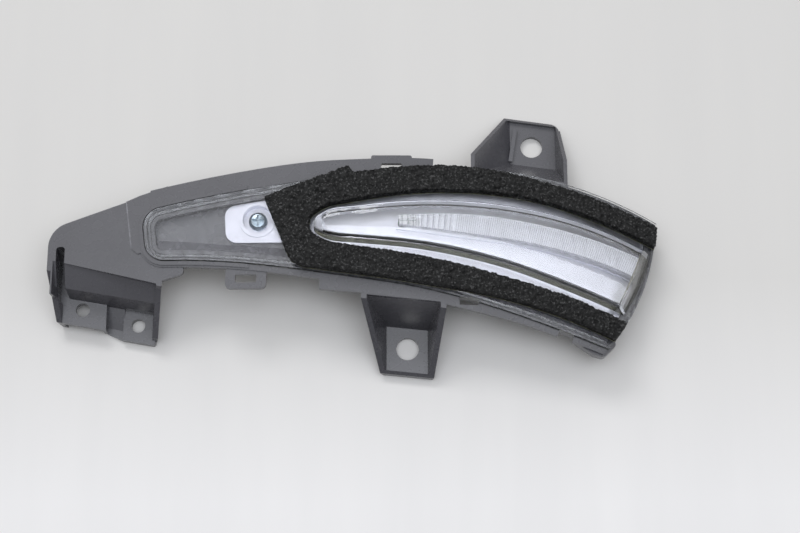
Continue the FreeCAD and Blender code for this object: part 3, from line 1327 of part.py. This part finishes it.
def make_screws():
    fixing = placed_body("reflector_screw", size("fix_x"), size("fix_y"), cup_floor())
    make_screw(fixing, "fix_screw_radius", "fix_screw_length", "fix_head_radius", "fix_head_height",
               "fix_cross")
    for index, along in ((1, "board_screw_inset"), (2, "board_length - board_screw_inset")):
        body = new_body(f"board_screw_{index}", f"board_x + {along}", "centre_line_y + board_offset_y",
                        "board_z + board_thickness")
        make_screw(body, "board_screw_radius", "board_screw_length", "board_head_radius",
                   "board_head_height", "board_cross")


def check_and_export():
    doc.recompute()
    failed = [item.Name for item in doc.Objects if "Invalid" in item.State or "Error" in item.State]
    if failed:
        raise RuntimeError(f"objects that did not compute: {failed}")
    os.makedirs("parts", exist_ok=True)
    for label in NODES:
        item = doc.getObjectsByLabel(label)[0]
        shape = item.Shape
        if shape.isNull() or not shape.isValid():
            raise RuntimeError(f"{label} has no valid shape")
        print(f"{label:16s} volume {shape.Volume:9.1f} solids {len(shape.Solids)} faces {len(shape.Faces)}")
        shape.exportStep(f"parts/{label}.step")


make_housing()
make_lens()
make_seal()
make_reflector()
make_guide()
make_board()
make_components()
make_terminals()
make_screws()
make_vent_cap()
check_and_export()
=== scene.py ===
import math
import bpy
import bmesh
from mathutils import Matrix, Vector, noise


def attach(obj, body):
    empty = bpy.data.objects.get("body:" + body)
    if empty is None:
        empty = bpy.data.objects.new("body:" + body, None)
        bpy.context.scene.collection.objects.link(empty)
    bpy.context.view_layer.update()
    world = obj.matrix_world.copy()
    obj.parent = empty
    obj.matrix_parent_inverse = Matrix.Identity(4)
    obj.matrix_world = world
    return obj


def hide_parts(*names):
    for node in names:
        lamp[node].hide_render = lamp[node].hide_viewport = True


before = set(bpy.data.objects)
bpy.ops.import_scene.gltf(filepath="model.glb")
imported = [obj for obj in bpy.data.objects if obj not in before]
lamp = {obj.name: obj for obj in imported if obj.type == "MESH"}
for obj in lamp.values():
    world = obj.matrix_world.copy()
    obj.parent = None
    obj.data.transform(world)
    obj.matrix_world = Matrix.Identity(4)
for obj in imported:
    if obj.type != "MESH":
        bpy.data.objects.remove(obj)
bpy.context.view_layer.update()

MM = 0.001

# View of the lamp, from the height above the horizon at which its photo was taken.
EYE_HEIGHT_ANGLE = math.radians(75.0)
EYE_DISTANCE = 0.65
LOOK_AT = Vector((-2.967, 30.434, 15.0)) * MM
LENS_MM = 74.43

# The crease across the wing, along which a highlight is painted: where it starts and ends, along and
# across the lamp.
CREASE_LOW = Vector((-107.4, 35.0)) * MM
CREASE_HIGH = Vector((-110.2, 54.6)) * MM

# The light guide's coarse prisms end and its fine ones start here, along the lamp.
COARSE_END = 4.0 * MM
COARSE_PITCH = 1.08 * MM

# Foam: the size of a torn grain, how deep the grains go, and the mesh they are pressed into.
GRAIN_SIZE = 1.15 * MM
GRAIN_DEPTH = 0.90 * MM
FOAM_VOXEL = 0.40 * MM


# Finishes

class Mixer:
    """Puts the nodes of one finish, or of the room, together."""

    def __init__(self, tree, coordinates="Object"):
        self.tree = tree
        self.place = self.add("ShaderNodeTexCoord").outputs[coordinates]

    def add(self, kind, **settings):
        made = self.tree.nodes.new(kind)
        for key, value in settings.items():
            setattr(made, key, value)
        return made

    def join(self, source, target):
        self.tree.links.new(source, target)

    def feed(self, socket, value):
        """Links an output to the socket, or sets the socket to a number or a colour."""
        if isinstance(value, bpy.types.NodeSocket):
            self.join(value, socket)
        else:
            socket.default_value = value

    def pattern(self, kind, scale, detail=2.0, rough=0.5, place=None):
        made = self.add(kind)
        made.inputs["Scale"].default_value = scale
        made.inputs["Detail"].default_value = detail
        made.inputs["Roughness"].default_value = rough
        self.join(place or self.place, made.inputs["Vector"])
        return made

    def grain(self, scale, *texture, **place):
        return self.pattern("ShaderNodeTexNoise", scale, *texture, **place).outputs["Fac"]

    def cells(self, scale):
        """Distance from the middle of the nearest of many scattered cells."""
        return self.pattern("ShaderNodeTexVoronoi", scale).outputs["Distance"]

    def calc(self, operation, first, second=0.0):
        made = self.add("ShaderNodeMath", operation=operation)
        self.feed(made.inputs[0], first)
        self.feed(made.inputs[1], second)
        return made.outputs[0]

    def spread(self, value, low, high, to_low=0.0, to_high=1.0, smooth=False):
        """Maps low..high to to_low..to_high and holds the ends."""
        kind = "SMOOTHSTEP" if smooth else "LINEAR"
        made = self.add("ShaderNodeMapRange", interpolation_type=kind)
        self.feed(made.inputs["Value"], value)
        made.inputs["From Min"].default_value = low
        made.inputs["From Max"].default_value = high
        made.inputs["To Min"].default_value = to_low
        made.inputs["To Max"].default_value = to_high
        return made.outputs["Result"]

    def tint(self, share, first, second):
        """Goes from the first colour to the second as share goes from nought to one."""
        made = self.add("ShaderNodeMix", data_type="RGBA")
        self.feed(made.inputs["Factor"], share)
        self.feed(made.inputs["A"], first)
        self.feed(made.inputs["B"], second)
        return made.outputs["Result"]

    def bump(self, height, depth, strength=1.0, under=None):
        made = self.add("ShaderNodeBump")
        made.inputs["Strength"].default_value = strength
        made.inputs["Distance"].default_value = depth
        self.join(height, made.inputs["Height"])
        if under is not None:
            self.join(under, made.inputs["Normal"])
        return made.outputs["Normal"]

    def surface(self, **values):
        made = self.add("ShaderNodeBsdfPrincipled")
        for key, value in values.items():
            self.feed(made.inputs[key.replace("_", " ")], value)
        return made.outputs["BSDF"]

    def let_lamps_through(self, shader, colour):
        """Clear plastic whose shadow is light, as a real one's is."""
        path = self.add("ShaderNodeLightPath")
        clear = self.add("ShaderNodeBsdfTransparent")
        self.feed(clear.inputs["Color"], colour)
        mix = self.add("ShaderNodeMixShader")
        self.join(path.outputs["Is Shadow Ray"], mix.inputs["Fac"])
        self.join(shader, mix.inputs[1])
        self.join(clear.outputs["BSDF"], mix.inputs[2])
        return mix.outputs["Shader"]

    def stretched(self, x, y, z):
        """The object's coordinates, scaled apart along each axis."""
        made = self.add("ShaderNodeVectorMath", operation="MULTIPLY")
        self.join(self.place, made.inputs[0])
        made.inputs[1].default_value = (x, y, z)
        return made.outputs["Vector"]

    def parts(self, vector=None):
        split = self.add("ShaderNodeSeparateXYZ")
        self.join(vector or self.place, split.inputs["Vector"])
        return split.outputs["X"], split.outputs["Y"], split.outputs["Z"]

    def steep(self, flat, wall):
        """Nought on faces that look up or down, one on walls."""
        normal = self.add("ShaderNodeTexCoord").outputs["Normal"]
        upright = self.calc("ABSOLUTE", self.parts(normal)[2])
        return self.spread(upright, flat, wall)


class Finish(Mixer):
    """A new material, from its nodes."""

    def __init__(self, name):
        self.material = bpy.data.materials.new(name)
        self.material.use_nodes = True
        self.material.node_tree.nodes.clear()
        super().__init__(self.material.node_tree)

    def show(self, shader):
        self.join(shader, self.add("ShaderNodeOutputMaterial").inputs["Surface"])
        return self.material


def crease_highlight_mask(m):
    """Mask of a painted highlight: one on the crease that crosses the wing beside the lens, nought
    elsewhere.
    """
    low, high = CREASE_LOW, CREASE_HIGH
    along, across, _ = m.parts()
    way = m.spread(across, low.y, high.y)
    off = m.calc("SUBTRACT", along, m.spread(way, 0.0, 1.0, low.x, high.x))
    line = m.spread(m.calc("ABSOLUTE", off), 0.08 * MM, 0.30 * MM, 1.0, 0.0)
    start = m.spread(across, low.y, low.y + 2.5 * MM)
    end = m.spread(across, high.y, high.y - 1.1 * MM)
    return m.calc("MULTIPLY", line, m.calc("MULTIPLY", start, end))


def grey_moulding():
    """Satin grey moulded plastic with fine spark grain, and a painted highlight along one crease."""
    m = Finish("grey_moulding")
    mottle = m.spread(m.grain(38.0, 3.0), 0.35, 0.65)
    shade = m.tint(mottle, (0.073, 0.072, 0.081, 1), (0.083, 0.082, 0.092, 1))
    cloud = m.grain(260.0)
    # Painted highlight: a pale line along the crease, broken up by the cloud noise.
    crease_highlight = m.calc("MULTIPLY", crease_highlight_mask(m), m.spread(cloud, 0.35, 0.55, 0.3, 0.9))
    shade = m.tint(crease_highlight, shade, (0.30, 0.30, 0.33, 1))
    rough = m.spread(cloud, 0.3, 0.7, 0.262, 0.284)
    spark = m.bump(m.grain(1300.0, 1.0), 0.04 * MM, 0.12)
    return m.show(m.surface(Base_Color=shade, Roughness=rough, Specular_IOR_Level=0.8, Normal=spark))


def clear_plastic():
    """Polished clear plastic, with painted dark olive shade on its steep thick walls and a darker
    lamp shadow through them.
    """
    m = Finish("clear_plastic")
    haze = m.spread(m.grain(90.0, 3.0), 0.4, 0.8, 0.0, 0.03)
    wave = m.bump(m.grain(60.0, 1.0), 0.03 * MM, 0.15)
    wall = m.steep(0.80, 0.25)
    # Painted shade: steep walls are tinted dark olive, standing for the dark inside seen through
    # them.
    shade = m.tint(wall, (0.97, 0.975, 0.98, 1), (0.22, 0.22, 0.17, 1))
    body = m.surface(Base_Color=shade, Roughness=haze, IOR=1.5, Transmission_Weight=1.0, Normal=wave)
    shadow = m.tint(wall, (0.93, 0.935, 0.94, 1), (0.40, 0.40, 0.36, 1))
    return m.show(m.let_lamps_through(body, shadow))


def guide_plastic():
    """Clear plastic of the light guide, a little milky, with painted shade on its prisms: dark sides
    on the fine prisms and dark lines at the coarse prisms' pitch.
    """
    m = Finish("guide_plastic")
    haze = m.spread(m.grain(700.0), 0.3, 0.7, 0.04, 0.16)
    along = m.parts()[0]
    prisms = m.spread(along, COARSE_END - 1.0 * MM, COARSE_END + 2.0 * MM)
    prisms = m.calc("MULTIPLY", m.steep(0.93, 0.45), prisms)
    comb = m.calc("PINGPONG", along, COARSE_PITCH)
    comb = m.spread(comb, 0.16 * MM, 0.40 * MM, 0.5, 0.0)
    comb = m.calc("MULTIPLY", comb, m.spread(along, COARSE_END + 0.5 * MM, COARSE_END))
    # Painted shade: the prisms' sides and the coarse prisms' lines are darkened in the colour.
    dark = m.calc("MAXIMUM", prisms, comb)
    shade = m.tint(dark, (0.93, 0.935, 0.95, 1), (0.32, 0.32, 0.35, 1))
    body = m.surface(Base_Color=shade, Roughness=haze, IOR=1.49, Transmission_Weight=0.75)
    return m.show(m.let_lamps_through(body, (0.9, 0.9, 0.92, 1)))


def silver_coat():
    """Bright silver coating on moulded plastic."""
    m = Finish("silver_coat")
    mist = m.spread(m.grain(120.0, 3.0), 0.3, 0.7)
    shade = m.tint(mist, (0.51, 0.51, 0.56, 1), (0.58, 0.58, 0.64, 1))
    rough = m.spread(m.grain(420.0), 0.3, 0.7, 0.28, 0.34)
    peel = m.bump(m.grain(250.0, 1.0), 0.03 * MM, 0.1)
    return m.show(m.surface(Base_Color=shade, Metallic=0.92, Roughness=rough, Normal=peel))


def black_foam():
    """Open-cell foam: black grains, with painted shade in the deep pores and painted grey highlights
    for small glints.
    """
    m = Finish("black_foam")
    lumps = m.grain(800.0, 3.0, 0.6)
    pits_and_pore_shade = m.cells(700.0)
    fine = m.grain(1150.0, 2.0, 0.6)
    black = (0.001, 0.001, 0.001, 1)
    shade = m.tint(m.spread(lumps, 0.42, 0.60), black, (0.030, 0.030, 0.030, 1))
    # Painted shade: the pores between the cells are darkened to black.
    shade = m.tint(m.spread(pits_and_pore_shade, 0.30, 0.55, 0.0, 0.9), shade, black)
    # Painted highlights: small grey glints on the fine grain.
    shade = m.tint(m.spread(fine, 0.57, 0.66, 0.0, 0.8), shade, (0.080, 0.080, 0.080, 1))
    rough = m.spread(lumps, 0.3, 0.7, 0.95, 0.6)
    pores = m.bump(fine, 0.2 * MM, 0.7, under=m.bump(pits_and_pore_shade, 0.5 * MM, 0.9))
    return m.show(m.surface(Base_Color=shade, Roughness=rough, Normal=pores))


def tape_film():
    """Yellowish glue film under the foam."""
    m = Finish("tape_film")
    smear = m.spread(m.grain(500.0), 0.35, 0.65)
    shade = m.tint(smear, (0.10, 0.10, 0.055, 1), (0.20, 0.20, 0.12, 1))
    rough = m.spread(m.grain(800.0), 0.3, 0.7, 0.3, 0.5)
    return m.show(m.surface(Base_Color=shade, Roughness=rough))


def zinc_plate():
    """Bluish zinc plating with faint cloudiness."""
    m = Finish("zinc_plate")
    cloud = m.grain(700.0, 3.0)
    shade = m.tint(m.spread(cloud, 0.3, 0.7), (0.25, 0.31, 0.36, 1), (0.35, 0.41, 0.46, 1))
    rough = m.spread(m.grain(1600.0), 0.3, 0.7, 0.24, 0.42)
    dents = m.bump(cloud, 0.02 * MM, 0.3)
    return m.show(m.surface(Base_Color=shade, Metallic=1.0, Roughness=rough, Normal=dents))


def plain_grain(name, dark, pale, scale, rough, metallic=0.0):
    """A finish with a fine two-tone grain."""
    m = Finish(name)
    cloud = m.grain(scale, 3.0)
    shade = m.tint(m.spread(cloud, 0.3, 0.7), (*dark, 1), (*pale, 1))
    gloss = m.spread(m.grain(scale * 2.3), 0.3, 0.7, rough - 0.05, rough + 0.08)
    dents = m.bump(cloud, 0.02 * MM, 0.3)
    return m.show(m.surface(Base_Color=shade, Metallic=metallic, Roughness=gloss, Normal=dents))


def board_green():
    """Green board with traces that show through its lacquer."""
    m = Finish("board_green")
    traces = m.add("ShaderNodeTexBrick")
    m.join(m.place, traces.inputs["Vector"])
    traces.inputs["Scale"].default_value = 260.0
    traces.inputs["Mortar Size"].default_value = 0.012
    traces.inputs["Color1"].default_value = (0.012, 0.115, 0.045, 1)
    traces.inputs["Color2"].default_value = (0.010, 0.100, 0.040, 1)
    traces.inputs["Mortar"].default_value = (0.030, 0.190, 0.070, 1)
    rough = m.spread(m.grain(900.0), 0.3, 0.7, 0.28, 0.40)
    return m.show(m.surface(Base_Color=traces.outputs["Color"], Roughness=rough))


def dress(finish, *names):
    for name in names:
        slots = lamp[name].data.materials
        slots.clear()
        slots.append(finish)


dress(grey_moulding(), "housing")
dress(clear_plastic(), "lens")
dress(guide_plastic(), "light_guide")
dress(silver_coat(), "reflector")
dress(tape_film(), "seal_tape")
dress(zinc_plate(), "reflector_screw", "board_screw_1", "board_screw_2")
dress(board_green(), "circuit_board")
dress(plain_grain("chip_black", (0.012, 0.012, 0.013), (0.022, 0.022, 0.024), 1800.0, 0.5),
      "driver_chip", "diode")
dress(plain_grain("resistor_black", (0.02, 0.02, 0.03), (0.03, 0.03, 0.045), 1500.0, 0.4),
      "resistor_1", "resistor_2", "resistor_3")
dress(plain_grain("led_white", (0.74, 0.74, 0.72), (0.84, 0.84, 0.82), 1500.0, 0.35),
      "led_1", "led_2")
dress(plain_grain("can_aluminium", (0.66, 0.67, 0.68), (0.76, 0.77, 0.78), 900.0, 0.3, 1.0),
      "capacitor")
dress(plain_grain("tinned_contact", (0.68, 0.65, 0.56), (0.80, 0.77, 0.68), 900.0, 0.28, 1.0),
      "terminal_1", "terminal_2")
dress(plain_grain("vent_rubber", (0.016, 0.016, 0.017), (0.028, 0.028, 0.03), 1400.0, 0.6),
      "vent_cap")


# Foam seal

def shown(name, mesh):
    piece = bpy.data.objects.new(name, mesh)
    bpy.context.scene.collection.objects.link(piece)
    return piece


def grain_push(vert):
    """How far a grain's skin stands out, and a pit's sinks in. The glued side stays flat."""
    spot = vert.co / GRAIN_SIZE
    near = noise.voronoi(spot, distance_metric="DISTANCE", exponent=2.5)[0]
    lump = near[0] - 0.38
    pit = max(0.0, noise.noise(spot * 0.55) - 0.12) * 1.6
    under = max(0.0, -vert.normal.z)
    free = 1.0 - min(1.0, under * 1.6)
    return -(lump * 0.9 + pit) * GRAIN_DEPTH * free


def foam_ring():
    """The CAD foam, meshed evenly and torn into coarse grains."""
    block = bmesh.new()
    block.from_mesh(lamp["foam_seal"].data)
    bmesh.ops.remove_doubles(block, verts=block.verts, dist=0.01 * MM)
    mesh = bpy.data.meshes.new("foam")
    block.to_mesh(mesh)
    block.free()
    ring = shown("foam", mesh)
    remesh = ring.modifiers.new("even", "REMESH")
    remesh.mode = "VOXEL"
    remesh.voxel_size = FOAM_VOXEL
    evaluated = ring.evaluated_get(bpy.context.evaluated_depsgraph_get())
    even = bpy.data.meshes.new_from_object(evaluated)
    ring.modifiers.clear()
    ring.data = even
    skin = bmesh.new()
    skin.from_mesh(even)
    skin.normal_update()
    moves = [vert.normal * grain_push(vert) for vert in skin.verts]
    for vert, move in zip(skin.verts, moves):
        vert.co += move
    for face in skin.faces:
        face.smooth = True
    skin.to_mesh(even)
    skin.free()
    ring.data.materials.clear()
    ring.data.materials.append(black_foam())
    return ring


foam = foam_ring()
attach(foam, "root")
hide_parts("foam_seal")


# Studio

def pale_sheet():
    """Pale backing sheet: painted paler near the viewer, where more light falls, with faint streaks
    and a few specks of dust.
    """
    m = Finish("pale_sheet")
    # Painted light: the sheet's colour grows paler towards the viewer.
    painted_light_toward_viewer = m.spread(m.parts()[1], 30.0 * MM, -60.0 * MM)
    shade = m.tint(painted_light_toward_viewer, (0.690, 0.676, 0.656, 1), (0.840, 0.828, 0.824, 1))
    streak = m.grain(30.0, 3.0, 0.6, place=m.stretched(1.0, 0.12, 1.0))
    shade = m.tint(m.spread(streak, 0.35, 0.65, 0.0, 0.07), shade, (0.45, 0.45, 0.46, 1))
    speck = m.spread(m.cells(45.0), 0.035, 0.02, 0.0, 0.6)
    rare = m.spread(m.grain(14.0, 1.0), 0.60, 0.62)
    shade = m.tint(m.calc("MULTIPLY", speck, rare), shade, (0.25, 0.23, 0.21, 1))
    return m.show(m.surface(Base_Color=shade, Roughness=0.9, Normal=m.bump(streak, 2.0 * MM, 0.15)))


def studio_floor():
    ground = bmesh.new()
    bmesh.ops.create_grid(ground, x_segments=2, y_segments=2, size=3.0)
    mesh = bpy.data.meshes.new("floor")
    ground.to_mesh(mesh)
    ground.free()
    mesh.materials.append(pale_sheet())
    shown("floor", mesh)


def soft_box(name, place, look_at, width, depth, power, colour):
    """A lamp behind a sheet, its width along X."""
    light = bpy.data.lights.new(name, "AREA")
    light.shape = "RECTANGLE"
    light.size = width
    light.size_y = depth
    light.energy = power
    light.color = colour
    back = (Vector(place) - Vector(look_at)).normalized()
    up = back.cross(Vector((1, 0, 0))).normalized()
    turn = Matrix((up.cross(back), up, back)).transposed()
    shown(name, light).matrix_world = Matrix.Translation(place) @ turn.to_4x4()


def studio_world():
    """Pale room: bright overhead and behind the object, dim on the viewer's side."""
    world = bpy.data.worlds.new("studio")
    world.use_nodes = True
    m = Mixer(world.node_tree, "Generated")
    side, back, up = m.parts()
    level = m.spread(up, 0.10, 0.75, 0.14, 0.82, smooth=True)
    level = m.calc("MULTIPLY", level, m.spread(back, -0.60, 0.05, 0.25, 1.0, smooth=True))
    level = m.calc("MULTIPLY", level, m.spread(side, 0.25, 0.75, 1.0, 0.70, smooth=True))
    colour = m.tint(m.spread(up, 0.5, 0.98), (1.0, 0.98, 0.95, 1), (0.955, 0.97, 1.0, 1))
    sky = world.node_tree.nodes["Background"]
    m.join(colour, sky.inputs["Color"])
    m.join(level, sky.inputs["Strength"])
    bpy.context.scene.world = world


def place_camera():
    lens = bpy.data.cameras.new("camera")
    lens.sensor_width = 36.0
    lens.lens = LENS_MM
    camera = shown("camera", lens)
    ahead = Vector((0.0, math.cos(EYE_HEIGHT_ANGLE), -math.sin(EYE_HEIGHT_ANGLE)))
    camera.location = LOOK_AT - ahead * EYE_DISTANCE
    camera.rotation_euler = ahead.to_track_quat("-Z", "Y").to_euler()
    bpy.context.scene.camera = camera


studio_floor()
studio_world()
soft_box("overhead", place=(0.10, -0.15, 1.30), look_at=(0.10, -0.15, 0),
         width=1.40, depth=0.78, power=8.3, colour=(0.90, 0.94, 1.0))
soft_box("window", place=(-0.35, 0.90, 1.07), look_at=(0, 0.03, 0),
         width=0.60, depth=0.40, power=5.2, colour=(0.97, 0.98, 1.0))
place_camera()
bpy.context.scene.view_settings.view_transform = "Standard"

bpy.context.view_layer.update()
